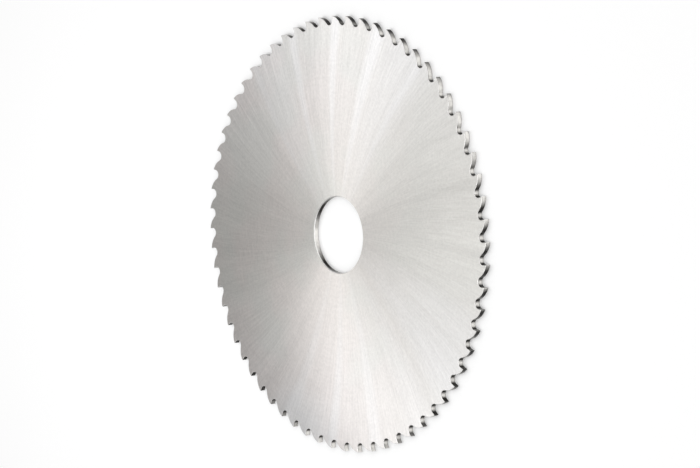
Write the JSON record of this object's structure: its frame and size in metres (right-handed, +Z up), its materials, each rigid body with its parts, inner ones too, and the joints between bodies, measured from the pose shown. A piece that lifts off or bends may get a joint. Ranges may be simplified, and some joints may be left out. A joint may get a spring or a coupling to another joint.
{
  "type": "slitting saw",
  "caption": "Thin flat circular steel cutter with curved, forward-leaning teeth round its rim and a plain chamfered arbor bore, for slitting and cutting off metal.",
  "frame": {"origin": "centre of the arbor bore, on the lower face of the blade", "axes": "+Z up along the arbor bore, square to both faces; +X through the tip of one tooth. Seen from above the saw cuts turning counter-clockwise."},
  "size_m": [0.125, 0.125, 0.0016],
  "materials": {
    "ground_steel": "satin, ground flat on both sides, with a fine grind that runs round the bore"
  },
  "bodies": {
    "root": {"saw_blade": "ground_steel"}
  },
  "joints": []
}
